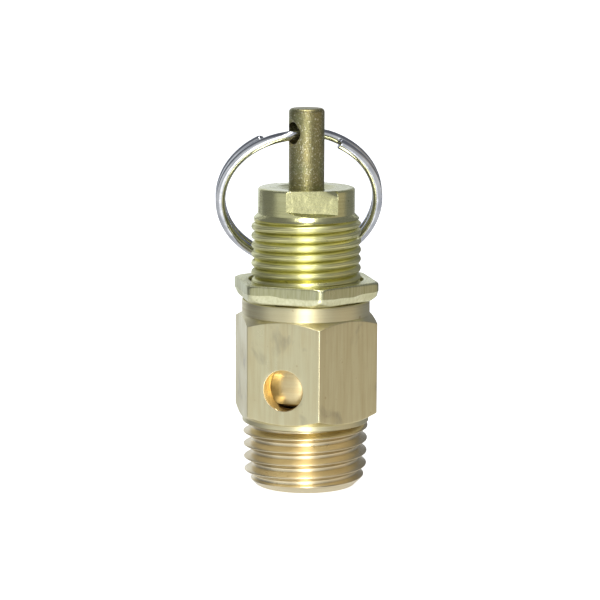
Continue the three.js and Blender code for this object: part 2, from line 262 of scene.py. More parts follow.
class Skin:
    """Sheets of points in rows and columns, joined into one mesh where their points meet."""

    def __init__(self):
        self.points = []
        self.quads = []
        self.slots = []
        self.count = 0

    def sheet(self, points, slot=0, skip=None):
        """One quad for each cell of the sheet, except where skip is true. slot is a number, or one for each
        row of cells."""
        rows, cols = points.shape[:2]
        index = np.arange(rows * cols).reshape(rows, cols) + self.count
        quads = np.stack([index[:-1, :-1], index[:-1, 1:], index[1:, 1:], index[1:, :-1]], -1)
        slots = np.zeros((rows - 1, cols - 1), np.int32)
        slots = slots + np.reshape(np.asarray(slot)[..., None], (-1, 1))
        kept = np.ones((rows - 1, cols - 1), bool) if skip is None else ~skip
        self.points.append(points.reshape(-1, 3))
        self.quads.append(quads[kept])
        self.slots.append(slots[kept])
        self.count += rows * cols

    def rows(self, rows, skip=None):
        self.sheet(rows.points(), np.array(rows.slots[1:]), skip)

    def build(self, name, materials, sharp=32.0):
        """The sheets as one object, welded, with its faces outward and its hard edges marked."""
        points = (np.concatenate(self.points) * MM).astype(np.float32)
        quads = np.concatenate(self.quads).astype(np.int32)
        mesh = bpy.data.meshes.new(name)
        mesh.vertices.add(len(points))
        mesh.vertices.foreach_set("co", points.ravel())
        mesh.loops.add(quads.size)
        mesh.loops.foreach_set("vertex_index", quads.ravel())
        mesh.polygons.add(len(quads))
        mesh.polygons.foreach_set("loop_start", np.arange(0, quads.size, 4, dtype=np.int32))
        mesh.polygons.foreach_set("material_index", np.concatenate(self.slots).astype(np.int32))
        for material in materials:
            mesh.materials.append(material)
        mesh.update(calc_edges=True)
        work = bmesh.new()
        work.from_mesh(mesh)
        bmesh.ops.remove_doubles(work, verts=work.verts, dist=WELD)
        bmesh.ops.recalc_face_normals(work, faces=work.faces)
        work.to_mesh(mesh)
        work.free()
        mesh.polygons.foreach_set("use_smooth", np.ones(len(mesh.polygons), bool))
        mesh.set_sharp_from_angle(angle=math.radians(sharp))
        piece = bpy.data.objects.new(name, mesh)
        bpy.context.scene.collection.objects.link(piece)
        return piece


def rim(block):
    """The points round a block of rows and columns, in order, back to the first."""
    return np.concatenate(
        [block[0, :-1], block[:-1, -1], block[-1, :0:-1], block[:0:-1, 0], block[0, :1]]
    )


def half_turned(points):
    """The points, turned half way round the axis."""
    return points * np.array([-1.0, -1.0, 1.0])


def turned_about(points, degrees):
    """The points, turned about +Z."""
    c, s = math.cos(math.radians(degrees)), math.sin(math.radians(degrees))
    return points @ np.array([[c, s, 0], [-s, c, 0], [0, 0, 1]])


def declare(piece, body, slot, *nodes):
    """Which body the piece moves with, and the CAD nodes that it stands for, which it hides. slot, its
    finish, is not used.
    """
    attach(piece, body)
    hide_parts(*nodes)


# ---------- materials ----------

MIX_A, MIX_B = 6, 7  # a Mix node's colour inputs
MIX_COLOUR = 2  # and its colour output


class Paint:
    """A node material: colour, roughness and small relief all come from noise in object space."""

    def __init__(self, name, metallic=1.0):
        self.material = bpy.data.materials.new(name)
        self.material.use_nodes = True
        self.tree = self.material.node_tree
        self.shader = self.tree.nodes["Principled BSDF"]
        self.shader.inputs["Metallic"].default_value = metallic
        self.place = self.tree.nodes.new("ShaderNodeTexCoord").outputs["Object"]
        self.normal = None

    def node(self, kind, inputs=(), **settings):
        made = self.tree.nodes.new(kind)
        for key, value in settings.items():
            setattr(made, key, value)
        for key, value in dict(inputs).items():
            if isinstance(value, bpy.types.NodeSocket):
                self.tree.links.new(value, made.inputs[key])
            else:
                made.inputs[key].default_value = value
        return made

    def math(self, operation, a, b):
        return self.node("ShaderNodeMath", {0: a, 1: b}, operation=operation).outputs[0]

    def stretched(self, x, y, z):
        """Object coordinates in cells: so many to the metre along each axis."""
        inputs = {0: self.place, 1: (x, y, z)}
        return self.node("ShaderNodeVectorMath", inputs, operation="MULTIPLY").outputs[0]

    def turned(self, along, across):
        """Cells that are long about the axis and narrow along the outline: along and across to the metre."""
        parts = self.node("ShaderNodeSeparateXYZ", {0: self.place}).outputs
        flat = self.node("ShaderNodeCombineXYZ", {0: parts[0], 1: parts[1]}).outputs[0]
        radius = self.node("ShaderNodeVectorMath", {0: flat}, operation="LENGTH").outputs["Value"]
        outline = self.math("ADD", parts[2], self.math("MULTIPLY", radius, 0.8))
        narrowed = self.math("MULTIPLY", outline, across / along)
        both = self.node("ShaderNodeCombineXYZ", {0: parts[0], 1: parts[1], 2: narrowed}).outputs[0]
        inputs = {0: both, "Scale": along}
        return self.node("ShaderNodeVectorMath", inputs, operation="SCALE").outputs[0]

    def noise(self, vector, detail, distortion=0.0):
        inputs = {"Vector": vector, "Scale": 1.0, "Detail": detail, "Distortion": distortion}
        return self.node("ShaderNodeTexNoise", inputs).outputs["Fac"]

    def levels(self, value, low, high, out_low=0.0, out_high=1.0):
        """The value, stretched so that low to high becomes out_low to out_high."""
        inputs = {"Value": value, "From Min": low, "From Max": high}
        inputs.update({"To Min": out_low, "To Max": out_high})
        return self.node("ShaderNodeMapRange", inputs, clamp=True).outputs["Result"]

    def colour(self, *layers, start):
        """Colours laid over each other: start, then each (share, colour)."""
        current = (*start, 1.0)
        for share, over in layers:
            mixed = self.tree.nodes.new("ShaderNodeMix")
            mixed.data_type = "RGBA"
            a, b = mixed.inputs[MIX_A], mixed.inputs[MIX_B]
            if isinstance(current, bpy.types.NodeSocket):
                self.tree.links.new(current, a)
            else:
                a.default_value = current
            b.default_value = (*over, 1.0)
            self.tree.links.new(share, mixed.inputs[0])
            current = mixed.outputs[MIX_COLOUR]
        self.tree.links.new(current, self.shader.inputs["Base Color"])

    def roughness(self, value):
        self.tree.links.new(value, self.shader.inputs["Roughness"])

    def relief(self, height, depth):
        """Small relief of that depth in millimetres, over what relief there is already."""
        inputs = {"Height": height, "Distance": depth * MM, "Strength": 1.0}
        if self.normal is not None:
            inputs["Normal"] = self.normal
        self.normal = self.node("ShaderNodeBump", inputs).outputs["Normal"]
        self.tree.links.new(self.normal, self.shader.inputs["Normal"])


BRASS_LIGHT = (0.80, 0.74, 0.48)
BRASS_DARK = (0.56, 0.44, 0.22)
GOLD_DARK = (0.62, 0.42, 0.15)
PASSIVE_LIGHT = (0.74, 0.72, 0.40)
PASSIVE_DARK = (0.42, 0.41, 0.17)
SMEAR = (0.34, 0.30, 0.22)


def brass(name, light, dark, rough, vector, lines=0.35, depth=0.006, smears=0.0, dents=0.0):
    """Machined brass: fine tool lines, cloudy tarnish and small pits, with smears or dents if asked."""
    paint = Paint(name)
    line = paint.noise(vector(paint), 3.0)
    cloud = paint.noise(paint.stretched(260, 260, 260), 4.0)
    grain = paint.noise(paint.stretched(9000, 9000, 9000), 3.0)
    pits = paint.noise(paint.stretched(1500, 1500, 1500), 1.0)
    smear = paint.noise(paint.stretched(330, 330, 250), 5.0, 0.4)
    paint.colour(
        (paint.levels(line, 0.35, 0.75, 0.0, lines), dark),
        (paint.levels(cloud, 0.45, 0.75, 0.0, 0.25), dark),
        (paint.levels(pits, 0.74, 0.80, 0.0, 0.6), dark),
        (paint.levels(smear, 0.60, 0.72, 0.0, smears), SMEAR),
        start=light,
    )
    tarnish = paint.levels(cloud, 0.3, 0.7, rough - 0.05, rough + 0.06)
    paint.roughness(paint.math("ADD", tarnish, paint.levels(line, 0.3, 0.7, -0.04, 0.05)))
    paint.relief(line, depth)
    paint.relief(grain, 0.0015)
    if dents:
        paint.relief(cloud, dents)
    return paint.material


def drawn_lines(paint):
    return paint.stretched(2600, 2600, 160)


def turned_lines(paint):
    return paint.turned(120, 5200)


def sheared_lines(paint):
    return paint.stretched(5200, 5200, 300)


def speckled(paint):
    return paint.stretched(3800, 3800, 3000)


def thread_lines(paint):
    return paint.turned(150, 4600)


BODY_MATERIALS = [
    brass("turned_brass", BRASS_LIGHT, BRASS_DARK, 0.36, turned_lines),
    brass("drawn_brass", BRASS_LIGHT, BRASS_DARK, 0.34, drawn_lines, lines=0.45, depth=0.006, smears=0.5),
    brass("thread_brass", (0.84, 0.73, 0.50), BRASS_DARK, 0.30, thread_lines, lines=0.4),
    # the bore, the vents' walls and their lips get a more golden base colour than the body's brass: a painted
    # reflection of the golden light inside the vent
    brass("bored_brass_painted_reflection", (0.86, 0.70, 0.40), GOLD_DARK, 0.24, turned_lines, lines=0.4),
]
TURNED, DRAWN, THREAD, BORED = range(4)

SCREW_MATERIALS = [
    brass(
        "passivated_turned",
        PASSIVE_LIGHT,
        PASSIVE_DARK,
        0.22,
        turned_lines,
        lines=0.4,
        depth=0.004,
        dents=0.12,
    ),
    brass("passivated_thread", (0.90, 0.87, 0.46), PASSIVE_DARK, 0.32, thread_lines, lines=0.75, depth=0.03),
]
SCREW_THREAD = 1

NUT_MATERIALS = [
    brass("passivated_turned_nut", PASSIVE_LIGHT, PASSIVE_DARK, 0.27, turned_lines, lines=0.3),
    brass("passivated_sheared", (0.68, 0.67, 0.44), PASSIVE_DARK, 0.3, sheared_lines, lines=0.9, depth=0.02),
    brass("passivated_broken", (0.84, 0.83, 0.58), PASSIVE_DARK, 0.4, speckled, lines=0.35, depth=0.015),
]
NUT_SHEARED, NUT_BROKEN = 1, 2


def zinc():
    """Yellow zinc plate over a grainy turned pin: dark olive with pale specks."""
    paint = Paint("yellow_zinc")
    grain = paint.noise(paint.stretched(9000, 9000, 9000), 2.0)
    specks = paint.noise(paint.stretched(6500, 6500, 6500), 1.0, 0.6)
    cloud = paint.noise(paint.stretched(420, 420, 420), 3.0)
    paint.colour(
        (paint.levels(cloud, 0.35, 0.7, 0.0, 0.6), (0.42, 0.33, 0.14)),
        (paint.levels(grain, 0.5, 0.3, 0.0, 0.6), (0.12, 0.11, 0.05)),
        (paint.levels(specks, 0.6, 0.68, 0.0, 0.85), (0.74, 0.70, 0.50)),
        start=(0.28, 0.28, 0.14),
    )
    paint.roughness(paint.levels(grain, 0.3, 0.7, 0.46, 0.32))
    paint.relief(specks, 0.03)
    paint.relief(grain, 0.02)
    return paint.material


def nickel():
    """Bright nickel plate on rolled wire, with faint draw marks."""
    paint = Paint("nickel_plate")
    cloud = paint.noise(paint.stretched(500, 500, 500), 3.0)
    grain = paint.noise(paint.stretched(5000, 5000, 5000), 2.0)
    paint.colour(
        (paint.levels(cloud, 0.4, 0.7, 0.0, 0.6), (0.24, 0.26, 0.31)),
        start=(0.56, 0.57, 0.60),
    )
    paint.roughness(paint.levels(cloud, 0.3, 0.7, 0.06, 0.13))
    paint.relief(cloud, 0.03)
    paint.relief(grain, 0.002)
    return paint.material


def steel(name, light, rough):
    """Plain steel with tool lines and a faint brown bloom."""
    paint = Paint(name)
    line = paint.noise(paint.turned(200, 4000), 3.0)
    cloud = paint.noise(paint.stretched(400, 400, 400), 3.0)
    paint.colour(
        (paint.levels(line, 0.3, 0.75, 0.0, 0.35), (0.34, 0.34, 0.35)),
        (paint.levels(cloud, 0.45, 0.75, 0.0, 0.3), (0.42, 0.38, 0.32)),
        start=light,
    )
    paint.roughness(paint.levels(cloud, 0.3, 0.7, rough - 0.06, rough + 0.08))
    paint.relief(line, 0.008)
    return paint.material


def rubber():
    """Matt black moulded rubber."""
    paint = Paint("seal_rubber", 0.0)
    grain = paint.noise(paint.stretched(3000, 3000, 3000), 3.0)
    cloud = paint.noise(paint.stretched(400, 400, 400), 3.0)
    paint.colour((paint.levels(cloud, 0.35, 0.7), (0.05, 0.05, 0.048)), start=(0.02, 0.02, 0.021))
    paint.roughness(paint.levels(grain, 0.3, 0.7, 0.6, 0.8))
    paint.relief(grain, 0.01)
    return paint.material


# ---------- the body ----------


def pipe_thread(rows):
    """The tapered thread: each pitch rises from a root flat over straight flanks to a narrow crest, the
    radius grows by 1 in 32 of the height, and a 45 degree cone cuts the lower end."""
    marks = mirrored(0, 0.02, 0.04, 0.07, 0.15, 0.23, 0.31, 0.35, 0.38, 0.42, 0.5)
    height = thread_rows(PIPE_PITCH, PIPE_PHASE, marks, 0.0, PIPE_TOP, rows.theta)
    place = np.abs(in_pitch(height, PIPE_PITCH, PIPE_PHASE, rows.theta))
    radius = PIPE_ROOT + PIPE_DEPTH * ramp((0.38 - place) / 0.335, 0.05) + height / PIPE_TAPER
    rows.add(smooth_min(radius, PIPE_START + height, 0.03), height, THREAD)


def hexagon_rows(rows):
    """The hexagon: flat / cos(angle), cut at both ends by a 30 degree cone, with a small round where they
    meet. Returns the numbers of the rows where the vents' gap starts and ends."""
    hexagon = hexagon_radius(rows.theta, FLAT, 0.0, 0.18)
    low = HEX_BOTTOM + (hexagon - LAND_RADIUS) * CHAMFER_RISE
    high = HEX_TOP - (hexagon - COLLAR_RADIUS) * CHAMFER_RISE
    edge = np.array([-0.05, -0.03, -0.012, 0.006, 0.024, 0.045, 0.08])[:, None]
    start = np.full_like(low, HEX_BOTTOM)

    def add(height, slot):
        below = LAND_RADIUS + (height - HEX_BOTTOM) / CHAMFER_RISE
        above = COLLAR_RADIUS + (HEX_TOP - height) / CHAMFER_RISE
        rows.add(smooth_min(smooth_min(below, above, 0.03), hexagon, 0.03), height, slot)

    add(start + (low + edge[0] - start) * np.array([0.0, 0.33, 0.66])[:, None], TURNED)
    add(low + edge, DRAWN)
    add(span(low + edge[-1], np.full_like(low, GAP_LOW), 2), DRAWN)
    first = rows.count() - 1
    add(span(np.full_like(low, GAP_LOW), np.full_like(low, GAP_HIGH), 16), DRAWN)
    last = rows.count() - 1
    add(span(np.full_like(low, GAP_HIGH), high - edge[-1], 6), DRAWN)
    add((high - edge)[::-1][1:], DRAWN)
    add(span(high - edge[0], np.full_like(low, HEX_TOP), 3), TURNED)
    return first, last


def female_thread(rows):
    """The body's inner thread, from the mouth down, with a 45 degree mouth and a cone at its lower end."""
    marks = mirrored(0, 0.12, 0.22, 0.36, 0.5)
    height = thread_rows(FINE_PITCH, FINE_PHASE, marks, INNER_THREAD_LOW, COLLAR_TOP, rows.theta)[::-1]
    place = np.abs(in_pitch(height, FINE_PITCH, FINE_PHASE, rows.theta))
    radius = THREAD_ROOT + THREAD_CLEARANCE + THREAD_DEPTH * ramp((0.5 - place) / 0.3, 0.06)
    radius = np.maximum(radius, CHAMBER_RADIUS + height - 19.92)
    radius = np.minimum(radius, 5.45 + 1.75 * (height - INNER_THREAD_LOW))
    rows.add(np.maximum(radius, CHAMBER_RADIUS), height, BORED)


def vent_sheet(outer, inner):
    """From the gap in the outer flat to the gap in the bore: flat rings that close in on the hole, a small
    round at its edge, the hole's wall, and rings that open out again over the bore's surface."""
    out, into = rim(outer), rim(inner)
    out_turn = np.unwrap(np.arctan2(out[:, 2] - VENT_HEIGHT, out[:, 0]))
    into_turn = np.unwrap(np.arctan2(into[:, 2] - VENT_HEIGHT, into[:, 0]))

    def circle(radius, turn, y):
        return np.stack([radius * np.cos(turn), y + 0 * turn, VENT_HEIGHT + radius * np.sin(turn)], -1)

    def on_bore(points):
        depth = -np.sqrt(CHAMBER_RADIUS**2 - points[:, 0] ** 2)
        return np.stack([points[:, 0], depth, points[:, 2]], -1)

    def lip_ring(t):
        inset, drop = VENT_EDGE * (1 - math.sin(t)), VENT_EDGE * (1 - math.cos(t))
        return circle(VENT_RADIUS + inset, out_turn, -FLAT + drop)

    start = circle(VENT_RADIUS + VENT_EDGE, out_turn, -FLAT)
    flat = [out + (start - out) * s for s in np.linspace(0, 1, 6)]
    lip = [lip_ring(t) for t in np.linspace(0, math.pi / 2, 4)[1:]]
    end = on_bore(circle(VENT_RADIUS, into_turn, 0.0))
    wall = []
    for s in np.linspace(0, 1, 13)[1:]:
        turn = out_turn + (into_turn - out_turn) * s
        depth = lip[-1][:, 1] + (end[:, 1] - lip[-1][:, 1]) * s
        wall.append(circle(VENT_RADIUS, turn, depth))
    bore = [on_bore(end + (into - end) * s) for s in np.linspace(0, 1, 5)[1:]]
    slots = [DRAWN] * (len(flat) - 1) + [BORED] * (len(lip) + len(wall) + len(bore))
    return np.array(flat + lip + wall + bore), np.array(slots)


def valve_body():
    """From the inlet's end up the outside, over the collar and down the bore, with a sheet for each vent."""
    theta = columns(1.5, HEX_CORNERS, (-0.64, -0.48, -0.32, -0.16, 0.16, 0.32, 0.48, 0.64))
    rows = Rows(theta)
    rows.line((3.4, 0.0), (4.4, 0.0), slot=TURNED)
    pipe_thread(rows)
    rows.line((6.2, 6.84), (6.2, 6.9), (6.62, 6.95), (6.86, 7.04))
    rows.line((LAND_RADIUS, 7.12), (LAND_RADIUS, 7.3), (LAND_RADIUS, 7.57))
    first, last = hexagon_rows(rows)
    rows.line((COLLAR_RADIUS, 18.97), (COLLAR_RADIUS, 19.4), (COLLAR_RADIUS, 19.9))
    rows.round_over(COLLAR_RADIUS, COLLAR_TOP, 0.15)
    rows.line((6.5, COLLAR_TOP))
    female_thread(rows)
    rows.line((CHAMBER_RADIUS, 15.3), (CHAMBER_RADIUS, 14.6), (CHAMBER_RADIUS, CHAMBER_HIGH), slot=BORED)
    bore_first = rows.count() - 1
    rows.add(CHAMBER_RADIUS, span(CHAMBER_HIGH, CHAMBER_LOW, 16)[:, 0], BORED)
    bore_last = rows.count() - 1
    rows.line((CHAMBER_RADIUS, 9.1), (4.0, 9.1), (3.78, 9.6), slot=BORED)
    rows.line((3.7, 9.8), (3.62, 9.9), (3.15, 9.9), slot=BORED)
    rows.line((3.04, 9.84), (3.0, 9.75), (3.0, 5.0), (3.0, 0.4), (3.2, 0.2), (3.4, 0.0), slot=BORED)
    points = rows.points()
    skin = Skin()
    skip = np.zeros((len(points) - 1, len(theta) - 1), bool)
    for middle in (-90.0, 90.0):
        left = int(np.searchsorted(theta, middle - VENT_SPAN))
        right = int(np.searchsorted(theta, middle + VENT_SPAN))
        skip[first:last, left:right] = True
        skip[bore_first:bore_last, left:right] = True
        if middle < 0:
            outer = points[first : last + 1, left : right + 1]
            inner = points[bore_first : bore_last + 1, left : right + 1][::-1]
            sheet, slots = vent_sheet(outer, inner)
    skin.rows(rows, skip)
    skin.sheet(sheet, slots)
    skin.sheet(half_turned(sheet), slots)
    declare(skin.build("valve_body_machined", BODY_MATERIALS), "body", "turned_brass", "valve_body")


# ---------- the adjusting screw, nut and stem ----------


def adjusting_thread(rows, low, high, marks, dip):
    """The rolled thread: a round crest, 1 - (2 p)^2.5 at place p in the pitch, with two shallow seams along
    it, and cones that lead it in below and run it out above."""
    height = thread_rows(FINE_PITCH, FINE_PHASE, marks, low, high, rows.theta)
    place = in_pitch(height, FINE_PITCH, FINE_PHASE, rows.theta)
    radius = ROLLED_ROOT + ROLLED_DEPTH * (1 - np.abs(2 * place) ** 2.5)
    for seam, share in ((-0.15, 1.0), (0.13, 0.8)):
        radius = radius - dip * share * np.exp(-(((place - seam) / 0.035) ** 2))
    lead = (THREAD_DEPTH + 0.2) / 0.7
    radius = np.minimum(radius, THREAD_ROOT - 0.1 + (height - SCREW_LOW[2]) * lead)
    radius = smooth_min(radius, ROLLED_ROOT + 0.05 + (SCREW_THREAD_TOP - height) * lead, 0.02)
    rows.add(radius, height, SCREW_THREAD)


def adjusting_screw():
    """The thread, a flare above it, and a round head whose two flats run out on a sloping ledge."""
    flat_half = math.degrees(math.acos(HEAD_FLAT / HEAD_RADIUS))
    edges = [at + side for at in HEAD_FLATS_AT for side in (-flat_half, flat_half)]
    theta = columns(2.0, edges, (-0.6, -0.25, 0.0, 0.25, 0.6))
    rows = Rows(theta)
    top = SCREW_HIGH[2]
    rows.line((4.4, SCREW_LOW[2]))
    adjusting_thread(rows, SCREW_LOW[2], HIDDEN_THREAD_TOP, mirrored(0, 0.25, 0.5), 0.0)
    fine = mirrored(0, 0.05, 0.08, 0.105, 0.13, 0.15, 0.17, 0.2, 0.24, 0.3, 0.36, 0.42, 0.47, 0.5)
    adjusting_thread(rows, HIDDEN_THREAD_TOP, SCREW_THREAD_TOP, fine, SEAM_DEPTH)
    rows.line((5.56, 29.26), (5.71, 29.3), (5.75, 29.35), (5.73, 29.42), (5.5, 29.66))
    signed = (theta - HEAD_FLATS_AT[0] + 90) % 180 - 90
    flat = np.where(np.abs(signed) < flat_half, HEAD_FLAT / np.cos(np.radians(signed)), 99.0)
    place = signed / flat_half
    lift = np.where(place < 0, 0.55, 0.14) * place**2 * np.clip(2 - np.abs(place), 0, 1)
    ledge = HEAD_BOTTOM + 0.06 + lift
    arch = ledge + (HEAD_RADIUS - np.minimum(flat, HEAD_RADIUS)) / LEDGE_SLOPE
    side = np.concatenate(
        [
            [np.full_like(arch, HEAD_BOTTOM)],
            ledge + (arch - ledge) * np.array([0.0, 0.25, 0.5, 0.75, 0.93])[:, None],
            arch + np.array([0.0, 0.02, 0.045, 0.08])[:, None],
            span(arch + 0.08, np.full_like(arch, top - HEAD_EDGE), 8),
            span(top - HEAD_EDGE, top, 5) + np.zeros_like(arch),
        ]
    )
    rise = np.clip((side - top + HEAD_EDGE) / HEAD_EDGE, 0, 1)
    barrel = HEAD_RADIUS - HEAD_EDGE + HEAD_EDGE * np.sqrt(1 - rise**2)
    corner = 0.45 * np.clip((place - 0.35) / 0.65, 0, 1) ** 2
    corner = corner * np.clip((side - top + 0.8) / 0.8, 0, 1) ** 2
    plane = np.maximum(flat, HEAD_RADIUS - (side - ledge) * LEDGE_SLOPE)
    radius = np.minimum(barrel, plane) - corner * (np.abs(place) < 1.0)
    rows.add(radius, side)
    rows.add(span(radius[-1], np.full_like(arch, 3.3), 4), top)
    rows.line((3.2, top - 0.02), (2.4, top - 0.3), (2.1, top - 0.35), (2.1, 31.0), (2.1, 29.2), (4.0, 29.2))
    rows.line((4.0, 24.0), (4.0, 17.4), (4.4, SCREW_LOW[2]))
    skin = Skin()
    skin.rows(rows)
    piece = skin.build("adjusting_screw_threaded", SCREW_MATERIALS)
    declare(piece, "adjuster", "passivated_brass", "adjusting_screw")


def nut_heights(low, high):
    """Heights of the nut's rows, closer together at its lower edge and where its corners roll in above."""
    lower = [np.linspace(low, low + 0.3, 5), np.linspace(low + 0.3, NUT_BAND, 5)[1:]]
    upper = [[NUT_BAND + 0.03], np.linspace(NUT_BAND + 0.08, high - NUT_ROLL, 4)]
    rolled = high - NUT_ROLL * (1 - np.sin(np.linspace(0, math.pi / 2, 12)[1:]))
    return np.concatenate([*lower, *upper, rolled])


def lock_nut():
    """A hexagon whose size changes with height: a broken band that leans in below, a sheared band above it
    with a wavy line between them, and corners that roll in at both ends."""
    low, high = NUT_LOW[2], NUT_HIGH[2]
    beside = (-4.5, -3.5, -2.5, -1.5, -0.75, 0.0, 0.75, 1.5, 2.5, 3.5, 4.5)
    theta = columns(1.5, [NUT_CORNER + 60 * k for k in range(6)], beside)
    shape = hexagon_radius(theta, 1.0, NUT_CORNER, 0.12)
    height = nut_heights(low, high)
    flat = NUT_FLAT - 0.02 - 0.2 * np.clip((NUT_BAND - height) / (NUT_BAND - low), 0, 1) ** 0.8
    flat = flat - 0.26 * (1 - np.sqrt(1 - np.clip((low + 0.3 - height) / 0.3, 0, 1) ** 2))
    roll = np.clip((height - high + 0.2) / 0.2, 0, 1)
    flat = flat - 0.2 * (1 - np.sqrt(1 - roll**2)) + 0.035 * (height > NUT_BAND + 0.01)
    rise = np.clip((height - high + NUT_ROLL) / NUT_ROLL, 0, 1)
    barrel = NUT_RADIUS - 0.7 * (1 - np.sqrt(1 - rise**2))
    corner = np.interp(height, low + np.array(NUT_CORNER_HEIGHTS), NUT_CORNER_RADII)
    side = smooth_min(flat[:, None] * shape, np.minimum(barrel, corner)[:, None], 0.06)
    turn = np.radians(theta)
    wave = 0.09 * np.sin(3 * turn + 1) + 0.06 * np.sin(7 * turn + 2) + 0.04 * np.sin(17 * turn)
    near = np.clip(1 - np.abs(height - NUT_BAND) / 0.5, 0, 1)
    level = height[:, None] + wave * near[:, None]
    split = int(np.searchsorted(height, NUT_BAND + 0.05))
    rows = Rows(theta)
    rows.line((6.3, low))
    rows.add(side[:split], level[:split], NUT_BROKEN)
    rows.add(side[split:], level[split:], NUT_SHEARED)
    rows.add(span(side[-1], np.full_like(theta, 6.3), 4), high)
    rows.line((6.27, high - 0.05), (6.25, high - 0.5), (6.1, high - 0.65), (6.1, low + 0.2), (6.3, low))
    skin = Skin()
    skin.rows(rows)
    declare(skin.build("lock_nut_rolled", NUT_MATERIALS), "nut", "passivated_brass", "lock_nut")


def mouth_radius(turn):
    """Radius of the countersunk mouth where it meets the pin, at each angle round the hole, by bisection:
    the cone's radius at a point's depth equals the point's distance from the hole's axis."""
    low, high = np.full_like(turn, HOLE_RADIUS), np.full_like(turn, 1.8)
    for _ in range(40):
        middle = (low + high) / 2
        depth = np.sqrt(STEM_RADIUS**2 - (middle * np.cos(turn)) ** 2)
        past = depth - STEM_RADIUS + MOUTH_DEPTH
        cone = HOLE_RADIUS + past * (MOUTH_RADIUS - HOLE_RADIUS) / MOUTH_DEPTH
        low, high = np.where(cone > middle, middle, low), np.where(cone > middle, high, middle)
    return low


def mouth_sheet(block):
    """From the gap in the pin's side to the middle of the cross hole, with the hole along +X."""
    edge = rim(block)
    side = np.arctan2(edge[:, 1], edge[:, 0])
    turn = np.unwrap(np.arctan2(edge[:, 2] - HOLE_HEIGHT, STEM_RADIUS * side))
    radius = mouth_radius(turn)
    rim_side = np.arcsin(radius * np.cos(turn) / STEM_RADIUS)
    rim_height = HOLE_HEIGHT + radius * np.sin(turn)
    sheets = []
    for s in np.linspace(0, 1, 7):
        at = side + (rim_side - side) * s
        height = edge[:, 2] + (rim_height - edge[:, 2]) * s
        sheets.append(np.stack([STEM_RADIUS * np.cos(at), STEM_RADIUS * np.sin(at), height], -1))
    depth = np.minimum(sheets[-1][:, 0], STEM_RADIUS - MOUTH_DEPTH)
    across, up = HOLE_RADIUS * np.cos(turn), HOLE_RADIUS * np.sin(turn)
    inner = np.stack([depth, across, HOLE_HEIGHT + up], -1)
    sheets += [sheets[-1] + (inner - sheets[-1]) * s for s in (0.33, 0.66, 1.0)]
    sheets += [inner * np.array([s, 1.0, 1.0]) for s in (0.66, 0.33, 0.0)]
    return np.array(sheets)


def lift_stem():
    """A turned pin with its cross hole along +X, turned about +Z when it is done."""
    theta = np.arange(151) * 2.4 - 270.0
    rows = Rows(theta)
    low, top = STEM_LOW[2], STEM_HIGH[2]
    rows.line((0.0, low), (1.2, low), (1.5, low + 0.3), (1.5, STEM_SHOULDER), (STEM_RADIUS, STEM_SHOULDER))
    rows.add(STEM_RADIUS, span(STEM_SHOULDER, STEM_GAP_LOW, 24)[:, 0])
    first = rows.count() - 1
    rows.add(STEM_RADIUS, span(STEM_GAP_LOW, STEM_GAP_HIGH, 22)[:, 0])
    last = rows.count() - 1
    rows.round_over(STEM_RADIUS, top, STEM_EDGE, 8)
    rows.line((1.0, top), (0.0, top))
    points = rows.points()
    skip = np.zeros((len(points) - 1, len(theta) - 1), bool)
    skin = Skin()
    for middle in (-180.0, 0.0):
        left = int(np.searchsorted(theta, middle - STEM_GAP_SPAN[0]))
        right = int(np.searchsorted(theta, middle + STEM_GAP_SPAN[1]))
        skip[first:last, left:right] = True
        if middle == 0.0:
            mouth = mouth_sheet(points[first : last + 1, left : right + 1])
    skin.sheet(turned_about(points, HOLE_TURN), 0, skip)
    skin.sheet(turned_about(mouth, HOLE_TURN))
    skin.sheet(turned_about(half_turned(mouth), HOLE_TURN))
    declare(skin.build("lift_stem_turned", [zinc()]), "lift", "yellow_zinc_steel", "lift_stem")


# ---------- the ring ----------


def split_ring():
    """Flat wire carried along two turns of a circle. The path is (R sin a, R cos a, h), where h goes from the
    back layer to the front one on a half sine at the crossing; the section is a superellipse, wide along the
    radius, and its first end is rounded off."""
    start, sweep = math.radians(RING_START), math.radians(RING_SWEEP)
    share = np.concatenate([[0, 0.0004, 0.0012, 0.0025], np.linspace(0.004, 1.0, 720)])
    angle = start + sweep * share
    past = np.clip((-2 * math.pi - angle) / math.radians(RING_CROSSING), -1, 1)
    layer = RING_LAYER * np.sin(past * math.pi / 2)
    travelled = -sweep * share * RING_RADIUS
    nose = np.clip(1 - travelled / 0.5, 0, 1)
    wide = np.sqrt(1 - nose**2)
    turn = np.radians(np.arange(29) * (360 / 28) - 90)
    power = 2 / 2.7
    across = (WIRE_WIDTH / 2) * np.sign(np.cos(turn)) * np.abs(np.cos(turn)) ** power
    through = (WIRE_THICKNESS / 2) * np.sign(np.sin(turn)) * np.abs(np.sin(turn)) ** power

    def section(at, height, factor, shrink=1.0):
        reach = RING_RADIUS + across * factor * shrink
        return np.stack([reach * np.sin(at), reach * np.cos(at), height + through * shrink], -1)

    sections = [section(a, h, f) for a, h, f in zip(angle, layer, wide)]
    tip = angle[-1] - 0.005
    sections += [section(tip, layer[-1], 1.0, s) for s in (0.86, 0.5, 0.0)]
    shift = math.radians(RING_SHIFT)
    points = turned_about(np.array(sections), -RING_SHIFT)
    points = points - np.array([RING_RADIUS * math.sin(shift), RING_RADIUS * math.cos(shift), 0])
    tilt = math.radians(90 + RING_LEAN)
    c, s = math.cos(tilt), math.sin(tilt)
    points = points @ np.array([[1, 0, 0], [0, c, s], [0, -s, c]])
    points = turned_about(points, RING_TURN) + np.array([0, 0, RING_HEIGHT])
    skin = Skin()
    skin.sheet(points)
    declare(skin.build("split_ring_wound", [nickel()], 50), "ring", "nickel_plate", "split_ring")


# ---------- pieces inside ----------


def lathe(name, body, slot, node, materials, *pairs):
    """A turned piece from an outline that closes on itself."""
    rows = Rows(columns(3.0))
    rows.line(*pairs)
    skin = Skin()
    skin.rows(rows)
    declare(skin.build(name, materials), body, slot, node)


